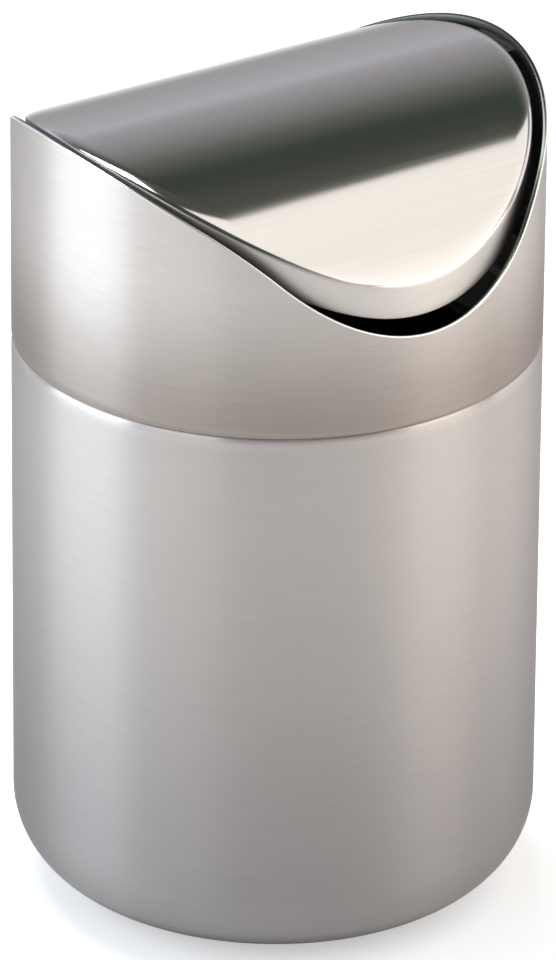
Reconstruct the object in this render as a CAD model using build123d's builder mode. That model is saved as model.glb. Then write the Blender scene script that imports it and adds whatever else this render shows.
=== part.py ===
from build123d import *

import os
from math import hypot, sqrt

# Push-top countertop bin: a drawn stainless can, a saddle-rimmed lid that
# plugs into it, and an arched flap that swings on an axle across the lid.
# Frame: origin on the table under the middle of the can, +Z up, and the
# flap's axle along X. The rim's two peaks point to +X and -X.

# ---------------------------------------------------------------- sizes, mm
# Driving dimensions
body_d = 120.0  # can and collar, outside
rim_peak_h = 194.4  # crest of the collar's saddle rim
collar_h = 59.8  # from the top of the can, where the lid sits, up to the crests
base_corner_r = 19.5  # drawn corner between the can's wall and its base
sheet_t = 0.6  # stainless sheet of the can, collar, sleeve and flap

# Can
foot_h = 1.0  # thickness of the non-slip ring, which lifts the can
foot_w = 8.0  # width of the ring
foot_margin = 3.5  # between the ring and the start of the drawn corner
foot_edge_r = 0.3
dish_margin = 1.5  # flat between the ring and the pressed-up middle of the base
dish_run = 2.5  # width of the slope around the pressed-up middle
dish_h = 0.8
curl_w = 1.6  # the can's rolled rim, across
curl_h = 3.2  # and down
curl_out_r = 0.9  # rounding of the rolled rim, outside
curl_in_r = 0.3  # rounding of the rolled rim, inside

# Saddle rim of the collar, seen along the axle: a crown arc, a tighter
# shoulder arc and a straight flank, each tangent to the next
crown_r = 70.0
crown_half_deg = 32.0
shoulder_r = 40.0
flank_deg = 57.2  # how steeply the flank falls
hem_w = 1.2  # folded edge of the rim, across
hem_h = 2.4  # and down
hem_edge_r = 0.5
seam_gap = 0.25  # shadow line between can and collar

# Sleeve that locates the lid in the can
spigot_depth = 10.0
spigot_clear = 0.3  # radial, inside the can's rolled rim
sleeve_up = 12.0  # how far the sleeve is welded up the collar

# Flap
flap_gap = 2.2  # between the flap's edge and the folded rim
arch_r = 74.0  # curve of the flap's top, about an axis along X
ridge_drop = 0.75  # ridge of the flap below the rim's crest
flange_h = 8.15  # turned-down edge
fold_r = 1.4  # outside radius of the fold

# Axle and what it carries
axle_d = 3.0
axle_drop = 5.8  # axle below the ridge of the flap
axle_end_clear = 0.15  # between the axle's ends and the collar's wall
run_clear = 0.05  # radial, where a part turns on the axle
notch_clear = 0.7  # radial, where the axle passes the flap's flange
hole_clear = 0.02  # radial, where the brackets hold the axle
lug_t = 1.2
lug_w = 10.0
lug_inset = 4.8  # between the flap's turned-down edge and each hanger lug
lug_foot = 11.0  # length of the foot welded under the ridge
lug_eye_r = 4.4
bush_barrel_d = 5.0
bush_barrel_over = 0.6  # how far the barrel stands past its lug
bush_flange_d = 7.0
bush_flange_t = 1.0
end_play = 0.1  # between bush and washer
washer_t = 0.5
washer_d = 7.0
clip_t = 0.7
clip_d = 6.6
clip_mouth_w = 2.0
groove_d = 2.3
groove_play = 0.05  # groove wider than the clip, each side

# Brackets welded inside the collar's peaks
bracket_t = 1.2
bracket_w = 13.0
bracket_over = 3.0  # above the axle's centre
stop_drop = 14.0  # top of the stop tongue below the axle's centre
stop_w = 2.6
stop_t = 1.2
stop_reach = 7.6  # how far the tongue stands in from the collar's wall
buffer_t = 0.5  # silicone cap on the tongue
buffer_len = 4.6

# Bucket
bucket_wall = 1.2
bucket_lip_clear = 1.2  # radial, between the bucket's lip and the can's rolled rim
bucket_lip_w = 2.6
bucket_lip_t = 1.2
bucket_lip_drop = 4.0
bucket_lip_edge_r = 0.6
bucket_draft = 2.2  # how much narrower the foot of the wall is, on the radius
bucket_corner_step = 4.5  # how much tighter its corner is than the can's
bucket_under_sleeve = 1.2  # bucket's top below the lid's sleeve
scoop_w = 30.0  # finger scoops in the bucket's lip
scoop_h = 7.0
scoop_corner_r = 3.0

# ------------------------------------------------------------ worked-out places
body_r = body_d / 2
seam_h = rim_peak_h - collar_h
wall_in_r = body_r - sheet_t
mouth_r = body_r - curl_w
hem_in_r = body_r - hem_w
corner_c = body_r - base_corner_r
foot_out_r = corner_c - foot_margin
foot_in_r = foot_out_r - foot_w
dish_r = foot_in_r - dish_margin - dish_run
floor_z = foot_h + dish_h + sheet_t
collar_base_z = seam_h + seam_gap
sleeve_out_r = mouth_r - spigot_clear
sleeve_low_z = seam_h - spigot_depth
ridge_z = rim_peak_h - ridge_drop
flap_r = hem_in_r - flap_gap
axle_r = axle_d / 2
axle_z = ridge_z - axle_drop
axle_half = sqrt(wall_in_r**2 - axle_r**2) - axle_end_clear
lug_out_x = flap_r - sheet_t - lug_inset
lug_x = lug_out_x - lug_t
bush_in_x = lug_x - bush_flange_t
washer_x = bush_in_x - end_play - washer_t
clip_x = washer_x - clip_t
bucket_lip_r = mouth_r - bucket_lip_clear
bucket_top_r = bucket_lip_r - bucket_lip_w
bucket_base_r = bucket_top_r - bucket_draft
bucket_corner_r = base_corner_r - bucket_corner_step
bucket_top_z = sleeve_low_z - bucket_under_sleeve
reach = body_d  # longer than anything it has to pass
side_plane = Plane.YZ.offset(-reach)  # the lid's profiles are drawn here, seen along the axle
up_facing = 0.2  # least upward part of the normal of a top face
edge_tests = (0.1, 0.4, 0.7)  # shares of an edge's length at which its place is tested
same_place = 0.01  # distances below this count as none


def saddle_area(drop, up):
    """The side of the saddle profile above it (up) or below it, in the YZ plane."""
    far_z = rim_peak_h + reach if up else -reach
    with BuildSketch(side_plane) as area:
        with BuildLine():
            crown = JernArc((0, rim_peak_h - drop), (1, 0), crown_r, -crown_half_deg)
            shoulder = JernArc(crown @ 1, crown % 1, shoulder_r, crown_half_deg - flank_deg)
            flank = Line(shoulder @ 1, shoulder @ 1 + (shoulder % 1) * body_r)
            mirror(about=Plane.YZ)
            edge_v = (flank @ 1).X
            edge_z = (flank @ 1).Y
            Polyline((edge_v, edge_z), (edge_v, far_z), (-edge_v, far_z), (-edge_v, edge_z))
        make_face()
    return area.sketch


def on_wall(edge, radius):
    """True where an edge lies on the upright cylinder of this radius."""
    points = [edge @ share for share in edge_tests]
    return all(abs(hypot(p.X, p.Y) - radius) < same_place for p in points)


def left_copy(right_part):
    """The mirrored twin of a piece at the other end of the axle."""
    with BuildPart() as twin:
        add(right_part)
        mirror(about=Plane.YZ, mode=Mode.REPLACE)
    return twin.part


# ------------------------------------------------------------------ body_shell
with BuildPart() as body_shell:
    with BuildSketch(Plane.XZ):
        with BuildLine():
            dish_out = Polyline(
                (0, foot_h + dish_h),
                (dish_r, foot_h + dish_h),
                (dish_r + dish_run, foot_h),
                (corner_c, foot_h),
            )
            corner_out = JernArc(dish_out @ 1, (1, 0), base_corner_r, 90)
            wall_out = Line(corner_out @ 1, (body_r, seam_h - curl_out_r))
            roll_out = JernArc(wall_out @ 1, (0, 1), curl_out_r, 90)
            rim_top = Line(roll_out @ 1, (mouth_r + curl_in_r, seam_h))
            roll_in = JernArc(rim_top @ 1, (-1, 0), curl_in_r, 90)
            roll_low = Polyline(
                roll_in @ 1,
                (mouth_r, seam_h - curl_h),
                (wall_in_r, seam_h - curl_h),
                (wall_in_r, foot_h + base_corner_r),
            )
            corner_in = JernArc(roll_low @ 1, (0, -1), base_corner_r - sheet_t, -90)
            Polyline(
                corner_in @ 1,
                (dish_r + dish_run, foot_h + sheet_t),
                (dish_r, floor_z),
                (0, floor_z),
                (0, foot_h + dish_h),
            )
        make_face()
    revolve(axis=Axis.Z)

# ------------------------------------------------------------------- foot_ring
with BuildPart() as foot_ring:
    with BuildSketch():
        Circle(foot_out_r)
        Circle(foot_in_r, mode=Mode.SUBTRACT)
    extrude(amount=foot_h)
    fillet(foot_ring.edges().group_by(Axis.Z)[0], foot_edge_r)

# ---------------------------------------------------------------- inner_bucket
with BuildPart() as inner_bucket:
    corner_low_r = bucket_base_r - bucket_corner_r
    with BuildSketch(Plane.XZ):
        with BuildLine():
            under = Line((0, floor_z), (corner_low_r, floor_z))
            turn_out = JernArc(under @ 1, (1, 0), bucket_corner_r, 90)
            side_out = Line(turn_out @ 1, (bucket_top_r, bucket_top_z - bucket_lip_t))
            lip = Polyline(
                side_out @ 1,
                (bucket_lip_r - bucket_lip_t, bucket_top_z - bucket_lip_t),
                (bucket_lip_r - bucket_lip_t, bucket_top_z - bucket_lip_drop),
                (bucket_lip_r, bucket_top_z - bucket_lip_drop),
                (bucket_lip_r, bucket_top_z),
                (bucket_top_r - bucket_wall, bucket_top_z),
                (bucket_base_r - bucket_wall, floor_z + bucket_corner_r),
            )
            turn_in = JernArc(lip @ 1, (0, -1), bucket_corner_r - bucket_wall, -90)
            Polyline(turn_in @ 1, (0, floor_z + bucket_wall), (0, floor_z))
        make_face()
    revolve(axis=Axis.Z)
    lip_edge = [e for e in inner_bucket.edges().group_by(Axis.Z)[-1] if on_wall(e, bucket_lip_r)]
    fillet(lip_edge, bucket_lip_edge_r)
    with BuildSketch(Plane.XZ):
        with Locations((0, bucket_top_z)):
            Rectangle(scoop_w, 2 * scoop_h)
        scoop_low = [v for v in vertices() if v.Y < bucket_top_z]
        fillet(scoop_low, scoop_corner_r)
    extrude(amount=reach, both=True, mode=Mode.SUBTRACT)

# ---------------------------------------------------------------- collar_shell
with BuildPart() as under_hem:
    extrude(saddle_area(hem_h, up=False), amount=2 * reach, dir=(1, 0, 0))
    with BuildSketch():
        Circle(wall_in_r)
    extrude(amount=rim_peak_h, mode=Mode.INTERSECT)

with BuildPart() as collar_shell:
    with BuildSketch(Plane.XY.offset(collar_base_z)):
        Circle(body_r)
        Circle(hem_in_r, mode=Mode.SUBTRACT)
    extrude(amount=rim_peak_h - collar_base_z)
    add(under_hem.part, mode=Mode.SUBTRACT)
    extrude(saddle_area(0, up=True), amount=2 * reach, dir=(1, 0, 0), mode=Mode.SUBTRACT)
    rim_faces = [f for f in collar_shell.faces() if f.normal_at().Z > up_facing]
    rim_edges = [
        e
        for f in rim_faces
        for e in f.edges()
        if on_wall(e, body_r) or on_wall(e, hem_in_r)
    ]
    fillet(rim_edges, hem_edge_r)

# --------------------------------------------------------------- collar_sleeve
with BuildPart() as collar_sleeve:
    with BuildSketch(Plane.XZ):
        with BuildLine():
            Polyline(
                (sleeve_out_r - sheet_t, sleeve_low_z),
                (sleeve_out_r, sleeve_low_z),
                (sleeve_out_r, seam_h),
                (wall_in_r, seam_h),
                (wall_in_r, seam_h + sleeve_up),
                (wall_in_r - sheet_t, seam_h + sleeve_up),
                (wall_in_r - sheet_t, seam_h + sheet_t),
                (sleeve_out_r - sheet_t, seam_h + sheet_t),
                close=True,
            )
        make_face()
    revolve(axis=Axis.Z)


# ------------------------------------------------------------------ flap_shell
def under_arch(radius, low_z):
    """The area below the flap's arch of this radius and above low_z, in the YZ plane."""
    with BuildSketch(side_plane) as area:
        with Locations((0, ridge_z - arch_r)):
            Circle(radius)
        with Locations((0, low_z)):
            Rectangle(2 * reach, reach, align=(Align.CENTER, Align.MIN), mode=Mode.INTERSECT)
    return area.sketch


def flap_block(radius, skin):
    """A solid with the flap's arched top and round outline, drawn in by skin."""
    with BuildPart() as block:
        extrude(under_arch(arch_r - skin, ridge_z - arch_r), amount=2 * reach, dir=(1, 0, 0))
        with BuildSketch():
            Circle(radius - skin)
        extrude(amount=rim_peak_h, mode=Mode.INTERSECT)
        fold = [
            e
            for f in block.faces()
            if f.normal_at().Z > up_facing
            for e in f.edges()
            if on_wall(e, radius - skin)
        ]
        fillet(fold, fold_r - skin)
    return block.part


with BuildPart() as below_flange:
    with BuildSketch(side_plane):
        with Locations((0, ridge_z - flange_h - arch_r)):
            Circle(arch_r)
    extrude(amount=2 * reach)

with BuildPart() as flap_shell:
    add(flap_block(flap_r, 0))
    add(below_flange.part, mode=Mode.SUBTRACT)
    add(flap_block(flap_r, sheet_t), mode=Mode.SUBTRACT)
    with BuildSketch(side_plane):
        with Locations((0, axle_z)):
            Circle(axle_r + notch_clear)
        with Locations((0, axle_z)):
            Rectangle(
                2 * (axle_r + notch_clear), flange_h, align=(Align.CENTER, Align.MAX)
            )
    extrude(amount=2 * reach, mode=Mode.SUBTRACT)

# -------------------------------------------------------------------- axle_rod
with BuildPart() as axle_rod:
    with BuildSketch(Plane.YZ.offset(-axle_half)):
        with Locations((0, axle_z)):
            Circle(axle_r)
    extrude(amount=2 * axle_half)
    for side in (-1, 1):
        groove_mid = side * (clip_x + clip_t / 2)
        groove_w = clip_t + 2 * groove_play
        with BuildSketch(Plane.YZ.offset(groove_mid - groove_w / 2)):
            with Locations((0, axle_z)):
                Circle(axle_d)
                Circle(groove_d / 2, mode=Mode.SUBTRACT)
        extrude(amount=groove_w, mode=Mode.SUBTRACT)

# ----------------------------------------------------- right-hand end's pieces
with BuildPart() as flap_lug_right:
    with BuildSketch(Plane.YZ.offset(lug_out_x - lug_foot)) as foot_strip:
        with Locations((0, ridge_z - arch_r)):
            Circle(arch_r - sheet_t)
            Circle(arch_r - sheet_t - lug_t, mode=Mode.SUBTRACT)
        with Locations((0, ridge_z)):
            Rectangle(lug_w, arch_r, mode=Mode.INTERSECT)
    extrude(amount=lug_foot)
    with BuildSketch(Plane.YZ.offset(lug_x)):
        with Locations((0, ridge_z - arch_r)):
            Circle(arch_r - sheet_t)
        with BuildSketch(mode=Mode.INTERSECT):
            with Locations((0, axle_z)):
                Circle(lug_eye_r)
                Rectangle(lug_w, arch_r, align=(Align.CENTER, Align.MIN))
        with Locations((0, axle_z)):
            Circle(bush_barrel_d / 2, mode=Mode.SUBTRACT)
    extrude(amount=lug_t)

with BuildPart() as axle_bush_right:
    with BuildSketch(Plane.YZ.offset(bush_in_x)):
        with Locations((0, axle_z)):
            Circle(bush_flange_d / 2)
    extrude(amount=bush_flange_t)
    with BuildSketch(Plane.YZ.offset(lug_x)):
        with Locations((0, axle_z)):
            Circle(bush_barrel_d / 2)
    extrude(amount=lug_t + bush_barrel_over)
    with BuildSketch(Plane.YZ.offset(bush_in_x)):
        with Locations((0, axle_z)):
            Circle(axle_r + run_clear)
    extrude(amount=bush_flange_t + lug_t + bush_barrel_over, mode=Mode.SUBTRACT)

with BuildPart() as axle_washer_right:
    with BuildSketch(Plane.YZ.offset(washer_x)):
        with Locations((0, axle_z)):
            Circle(washer_d / 2)
            Circle(axle_r + run_clear, mode=Mode.SUBTRACT)
    extrude(amount=washer_t)

with BuildPart() as axle_clip_right:
    with BuildSketch(Plane.YZ.offset(clip_x)):
        with Locations((0, axle_z)):
            Circle(clip_d / 2)
            Circle(groove_d / 2, mode=Mode.SUBTRACT)
            Rectangle(clip_mouth_w, clip_d, align=(Align.CENTER, Align.MAX), mode=Mode.SUBTRACT)
    extrude(amount=clip_t)

with BuildPart() as axle_bracket_right:
    bracket_low_z = axle_z - stop_drop - stop_t
    bracket_high_z = axle_z + bracket_over
    with BuildSketch(Plane.XY.offset(bracket_low_z)):
        Circle(wall_in_r)
        Circle(wall_in_r - bracket_t, mode=Mode.SUBTRACT)
        Rectangle(
            wall_in_r, bracket_w, align=(Align.MIN, Align.CENTER), mode=Mode.INTERSECT
        )
    extrude(amount=bracket_high_z - bracket_low_z)
    with BuildSketch(Plane.XY.offset(bracket_low_z)):
        with Locations((wall_in_r - stop_reach, 0)):
            Rectangle(stop_reach - bracket_t, stop_w, align=(Align.MIN, Align.CENTER))
    extrude(amount=stop_t)
    with BuildSketch(Plane.YZ):
        with Locations((0, axle_z)):
            Circle(axle_r + hole_clear)
    extrude(amount=body_r, mode=Mode.SUBTRACT)

with BuildPart() as stop_buffer_right:
    cap_x = wall_in_r - stop_reach - buffer_t
    with BuildSketch(Plane.XY.offset(bracket_low_z - buffer_t)):
        with Locations((cap_x, 0)):
            Rectangle(
                buffer_len + buffer_t,
                stop_w + 2 * buffer_t,
                align=(Align.MIN, Align.CENTER),
            )
    extrude(amount=stop_t + 2 * buffer_t)
    fillet(stop_buffer_right.edges().filter_by(Axis.X), buffer_t)
    add(axle_bracket_right.part, mode=Mode.SUBTRACT)

# ------------------------------------------------------------- writing the parts
parts = {
    "body_shell": body_shell.part,
    "foot_ring": foot_ring.part,
    "inner_bucket": inner_bucket.part,
    "collar_shell": collar_shell.part,
    "collar_sleeve": collar_sleeve.part,
    "flap_shell": flap_shell.part,
    "axle_rod": axle_rod.part,
}
right_parts = {
    "flap_lug": flap_lug_right.part,
    "axle_bush": axle_bush_right.part,
    "axle_washer": axle_washer_right.part,
    "axle_clip": axle_clip_right.part,
    "axle_bracket": axle_bracket_right.part,
    "stop_buffer": stop_buffer_right.part,
}
for name, right_part in right_parts.items():
    parts[name + "_right"] = right_part
    parts[name + "_left"] = left_copy(right_part)

os.makedirs("parts", exist_ok=True)
for name, piece in parts.items():
    piece.label = name
    export_step(piece, f"parts/{name}.step")
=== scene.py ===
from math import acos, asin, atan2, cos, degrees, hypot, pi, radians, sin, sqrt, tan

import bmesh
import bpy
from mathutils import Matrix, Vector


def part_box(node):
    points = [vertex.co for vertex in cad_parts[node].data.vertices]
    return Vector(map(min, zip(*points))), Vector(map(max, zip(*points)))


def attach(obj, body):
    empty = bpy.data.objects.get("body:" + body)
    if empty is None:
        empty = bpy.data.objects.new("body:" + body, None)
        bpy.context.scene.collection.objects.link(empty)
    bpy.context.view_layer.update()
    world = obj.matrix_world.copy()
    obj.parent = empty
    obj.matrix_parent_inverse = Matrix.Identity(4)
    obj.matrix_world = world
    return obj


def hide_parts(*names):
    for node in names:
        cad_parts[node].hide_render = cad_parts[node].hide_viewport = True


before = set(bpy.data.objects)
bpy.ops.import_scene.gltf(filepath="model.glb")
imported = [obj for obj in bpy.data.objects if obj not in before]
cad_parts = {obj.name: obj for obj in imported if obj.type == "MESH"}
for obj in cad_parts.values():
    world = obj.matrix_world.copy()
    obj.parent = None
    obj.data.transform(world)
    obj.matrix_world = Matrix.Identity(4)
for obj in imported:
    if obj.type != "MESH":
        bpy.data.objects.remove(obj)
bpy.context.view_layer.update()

# %% [markdown]
# # A push-top countertop bin in brushed stainless steel
# The bin is a drawn steel can, a lid whose rim dips like a saddle, and an
# arched flap that swings on an axle across the lid. The construction comes in
# as a fixed frame of CAD nodes. This lesson gives it its surfaces: finely
# meshed sheet-metal shells with folded edges, brushed and satin steel, and a
# plain soft studio. Every size is in metres, with +Z up and the flap's axle
# along X.

MM = 0.001

can_low, can_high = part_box("body_shell")
collar_low, collar_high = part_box("collar_shell")
flap_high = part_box("flap_shell")[1]
axle_low, axle_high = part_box("axle_rod")

BODY_R = can_high.x
CAN_FOOT_Z = can_low.z
SEAM_Z = can_high.z
PEAK_Z = collar_high.z
COLLAR_BASE_Z = collar_low.z
FLAP_R = flap_high.x
RIDGE_Z = flap_high.z
AXLE_Z = (axle_low.z + axle_high.z) / 2
AXLE_R = (axle_high.z - axle_low.z) / 2
SHEET_T = 0.6 * MM  # stainless sheet of the can, collar and flap

print(f"radius: can {BODY_R / MM:.1f} mm, flap {FLAP_R / MM:.1f}, axle {AXLE_R / MM:.1f}")
print(f"height: seam {SEAM_Z / MM:.1f} mm, rim's peaks {PEAK_Z / MM:.1f}")
print(f"height: flap's ridge {RIDGE_Z / MM:.2f} mm, axle {AXLE_Z / MM:.2f}")

# %% [markdown]
# ## Camera
# A product like this is shot from a couple of metres away through a long
# lens, so that its upright sides stay nearly parallel. The camera looks down
# on the bin and stands off to one side of the axle's middle. Its place is
# worked out from those angles rather than dragged, so it can be changed in
# one line.

# %% The camera and the two directions that the studio is laid out in
CAMERA_TURN = radians(34.2)  # how far the camera stands round from -Y towards -X
CAMERA_DISTANCE = 1.91146  # level distance from the bin's axis
CAMERA_HEIGHT = 1.0088
CAMERA_DIP = 0.4454  # radians below level
CAMERA_ROLL = 0.0085
FOCAL_LENGTH = 349.33  # mm, on a sensor 36 mm along its long side
SHIFT_X = 0.0022

AWAY = Vector((sin(CAMERA_TURN), cos(CAMERA_TURN), 0))  # from the camera, level
RIGHT = Vector((cos(CAMERA_TURN), -sin(CAMERA_TURN), 0))  # the camera's right, level


def add_camera():
    """The camera, aimed by its own axes."""
    camera_data = bpy.data.cameras.new("studio_camera")
    camera_data.lens = FOCAL_LENGTH
    camera_data.shift_x = SHIFT_X
    camera_data.clip_start = 0.05
    camera_data.clip_end = 60
    camera = bpy.data.objects.new("studio_camera", camera_data)
    bpy.context.scene.collection.objects.link(camera)
    look = AWAY * cos(CAMERA_DIP) - Vector((0, 0, sin(CAMERA_DIP)))
    up = RIGHT.cross(look)
    side = RIGHT * cos(CAMERA_ROLL) + up * sin(CAMERA_ROLL)
    top = up * cos(CAMERA_ROLL) - RIGHT * sin(CAMERA_ROLL)
    turn = Matrix((side, top, -look)).transposed()
    place = -AWAY * CAMERA_DISTANCE + Vector((0, 0, CAMERA_HEIGHT))
    camera.matrix_world = Matrix.Translation(place) @ turn.to_4x4()
    bpy.context.scene.camera = camera
    return camera


studio_camera = add_camera()
print("camera at", [round(v, 3) for v in studio_camera.location])

# %% [markdown]
# ## Shader maths as plain expressions
# A node tree is easier to read as a formula than as a list of links. The
# class below wraps one output socket. Adding or multiplying two of them adds
# the Math node and hands back its output, so a mask can be written as
# `1 - streaks * 0.2`.


# %% One output socket, with the arithmetic of numbers
class Wire:
    """One output socket of a node tree, with the arithmetic of numbers."""

    def __init__(self, tree, socket):
        self.tree = tree
        self.socket = socket

    def math(self, operation, *others):
        return self.tree.node("ShaderNodeMath", {"operation": operation}, (self, *others))["Value"]

    def __add__(self, other):
        return self.math("ADD", other)

    def __radd__(self, other):
        return self.math("ADD", other)

    def __sub__(self, other):
        return self.math("SUBTRACT", other)

    def __rsub__(self, other):
        return self.tree.node("ShaderNodeMath", {"operation": "SUBTRACT"}, (other, self))["Value"]

    def __mul__(self, other):
        return self.math("MULTIPLY", other)

    def __rmul__(self, other):
        return self.math("MULTIPLY", other)


print("wires ready")

# %% [markdown]
# The second class is the tree that such sockets belong to. One of its methods
# adds a node of any kind, sets it and wires it up. The short ones after it
# name the few nodes that most finishes need: noise, a blend of two colours, a
# smooth step and a bump.


# %% The tree under construction
class Shading:
    """A node tree under construction."""

    def __init__(self, owner):
        owner.use_nodes = True
        self.tree = owner.node_tree
        self.tree.nodes.clear()

    def node(self, kind, settings=None, inputs=None):
        """Adds a node: its settings first, then values or wires by socket name or in order.

        Gives its outputs back as wires, by name and by number."""
        made = self.tree.nodes.new(kind)
        for name, value in (settings or {}).items():
            if name == "stops":
                self.set_stops(made.color_ramp, value)
            else:
                setattr(made, name, value)
        pairs = inputs.items() if isinstance(inputs, dict) else enumerate(inputs or ())
        for key, value in pairs:
            if isinstance(value, Wire):
                self.tree.links.new(value.socket, made.inputs[key])
            else:
                made.inputs[key].default_value = value
        wires = {socket.name: Wire(self, socket) for socket in reversed(made.outputs)}
        return wires | {index: Wire(self, socket) for index, socket in enumerate(made.outputs)}

    def set_stops(self, ramp, stops):
        """Gives a colour ramp these (position, colour) stops."""
        while len(ramp.elements) > 1:
            ramp.elements.remove(ramp.elements[-1])
        for index, (position, colour) in enumerate(stops):
            element = ramp.elements[0] if index == 0 else ramp.elements.new(position)
            element.position = position
            element.color = (*colour, 1)

    def vector(self, operation, *inputs):
        """A Vector Math node. Its outputs are "Vector" and "Value"."""
        return self.node("ShaderNodeVectorMath", {"operation": operation}, inputs)

    def place(self):
        """Where a point is, in the piece's own coordinates."""
        return self.node("ShaderNodeTexCoord")["Object"]

    def noise(self, factors, detail):
        """Soft noise about 0.5. Along each axis it is as fine as that axis's factor is large."""
        position = self.vector("MULTIPLY", self.place(), factors)["Vector"]
        inputs = {"Vector": position, "Scale": 1.0, "Detail": detail}
        return self.node("ShaderNodeTexNoise", {}, inputs)["Fac"]

    def blend(self, factor, colour_a, colour_b, way="MIX"):
        """Colour a where factor is 0, colour b (or a times b) where it is 1."""
        colours = [c if isinstance(c, Wire) else (*c, 1) for c in (colour_a, colour_b)]
        inputs = {0: factor, 6: colours[0], 7: colours[1]}  # the Mix node's colour sockets
        return self.node("ShaderNodeMix", {"data_type": "RGBA", "blend_type": way}, inputs)[2]

    def step(self, value, start, end):
        """0 until value reaches start, then smoothly up to 1 at end."""
        settings = {"interpolation_type": "SMOOTHSTEP"}
        inputs = {"Value": value, "From Min": start, "From Max": end}
        return self.node("ShaderNodeMapRange", settings, inputs)["Result"]

    def bump(self, height, strength, distance):
        """The normal of a surface that rises by up to this distance."""
        inputs = {"Strength": strength, "Distance": distance, "Height": height}
        return self.node("ShaderNodeBump", {}, inputs)["Normal"]


print("trees ready")

# %% [markdown]
# Each finish is one Principled shader, so all there is to say about it is
# what goes into the shader's sockets. No real surface is quite one colour, so
# a finish blends between a darker and a lighter version of its own.


# %% From a shader's inputs to a material
def either_side(colour, spread):
    """A colour made darker by this share, and made lighter by it."""
    return tuple(c * (1 - spread) for c in colour), tuple(min(c * (1 + spread), 1) for c in colour)


def finish_material(name, paint):
    """A new material. paint(shading) gives the Principled shader's inputs by socket name."""
    material = bpy.data.materials.new(name)
    shading = Shading(material)
    shader = shading.node("ShaderNodeBsdfPrincipled", {}, paint(shading))["BSDF"]
    shading.node("ShaderNodeOutputMaterial", {}, {"Surface": shader})
    return material


print("materials ready to be made")

# %% [markdown]
# ## The studio: a pale floor
# Steel has hardly any colour of its own: it shows the room. So the room is
# built first, and built plainly. A pale floor fills the lower half of every
# reflection in the upright walls. Lighting it until it looked white would
# drown the bin in light. Instead it glows a little wherever it is seen, by
# the camera, in metal or through glass, and nowhere else, so the bin still
# drops its own soft shadow on it.

# %% Floor
FLOOR_R = 6.0
FLOOR_SIDES = 96


def even_angles(count):
    """This many angles, evenly round a circle."""
    return [2 * pi * i / count for i in range(count)]


def add_floor():
    """A plain pale disc that isn't part of the bin."""
    mesh = bpy.data.meshes.new("studio_floor")
    corners = [(FLOOR_R * cos(turn), FLOOR_R * sin(turn), 0) for turn in even_angles(FLOOR_SIDES)]
    mesh.from_pydata(corners, [], [list(range(FLOOR_SIDES))])
    floor = bpy.data.objects.new("studio_floor", mesh)
    bpy.context.scene.collection.objects.link(floor)
    return floor


FLOOR_WHITE = (0.93, 0.93, 0.93)
FLOOR_LIFT = 0.42  # added where the floor is seen, also in metal, and not where it lights things


def floor_paint(shading):
    """Matt white paper that glows a little for the eye only."""
    path = shading.node("ShaderNodeLightPath")
    seen = path["Is Camera Ray"] + path["Is Glossy Ray"] + path["Is Transmission Ray"]
    return {
        "Base Color": (*FLOOR_WHITE, 1),
        "Roughness": 0.9,
        "Specular IOR Level": 0.0,
        "Emission Color": seen,
        "Emission Strength": FLOOR_LIFT,
    }


floor = add_floor()
floor.data.materials.append(finish_material("white_paper", floor_paint))
print("floor", FLOOR_R * 2, "m across")

# %% [markdown]
# ## The studio: a wall that fades upwards
# The flap is an arch, so it shows the room from the wall behind up to the
# ceiling, squeezed into one band. A wall of one grey would leave it flat. A
# wall that fades to dark as it rises gives a light ridge and a dark band
# below it, which is what tells the eye that the sheet is curved. Above its
# darkest part the wall lifts a little again, so the band is darkest in its
# middle. The wall is a colour ramp over the height of each direction, a shade
# cooler on the left and warmer on the right.

# %% World: a wall that fades upwards
WALL_STOPS = (  # height of the direction in degrees, then the wall's colour there
    (-8, (0.70, 0.70, 0.71)),
    (10, (0.76, 0.77, 0.79)),
    (22, (0.82, 0.84, 0.88)),
    (26, (0.64, 0.64, 0.67)),
    (30, (0.56, 0.55, 0.58)),
    (34, (0.455, 0.465, 0.48)),
    (38, (0.37, 0.38, 0.38)),
    (41.5, (0.27, 0.28, 0.26)),
    (44.5, (0.185, 0.195, 0.175)),
    (47.5, (0.125, 0.143, 0.125)),
    (50, (0.060, 0.088, 0.067)),
    (52.5, (0.055, 0.080, 0.060)),
    (55, (0.075, 0.087, 0.072)),
    (59, (0.115, 0.125, 0.106)),
    (90, (0.060, 0.070, 0.062)),
)
FRONT_SHADE = 0.22  # how much darker the room is behind the camera
FRONT_START = 0.3  # how far a direction points to the camera, out of 1, where that begins
LEFT_TINT = (0.92, 0.97, 1.08)  # the window's side is cool
RIGHT_TINT = (1.06, 0.99, 0.93)  # and the lamp's side warm


def add_world():
    """The room around the bin, by the height of each direction."""
    world = bpy.data.worlds.new("studio_room")
    bpy.context.scene.world = world
    shading = Shading(world)
    direction = shading.node("ShaderNodeTexCoord")["Generated"]
    height = shading.node("ShaderNodeSeparateXYZ", {}, (direction,))["Z"]
    stops = [((sin(radians(angle)) + 1) / 2, colour) for angle, colour in WALL_STOPS]
    wall = shading.node("ShaderNodeValToRGB", {"stops": stops}, (height * 0.5 + 0.5,))["Color"]
    sideways = shading.vector("DOT_PRODUCT", direction, RIGHT)["Value"]
    tint = shading.blend(sideways * 0.5 + 0.5, LEFT_TINT, RIGHT_TINT)
    wall = shading.vector("MULTIPLY", wall, tint)["Vector"]
    facing = shading.vector("DOT_PRODUCT", direction, -AWAY)["Value"]
    front = 1 - shading.step(facing, FRONT_START, 1.0) * FRONT_SHADE
    glow = shading.node("ShaderNodeBackground", {}, {"Color": wall, "Strength": front})
    shading.node("ShaderNodeOutputWorld", {}, {"Surface": glow["Background"]})


add_world()
print("wall: a ramp of", len(WALL_STOPS), "stops")

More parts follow.
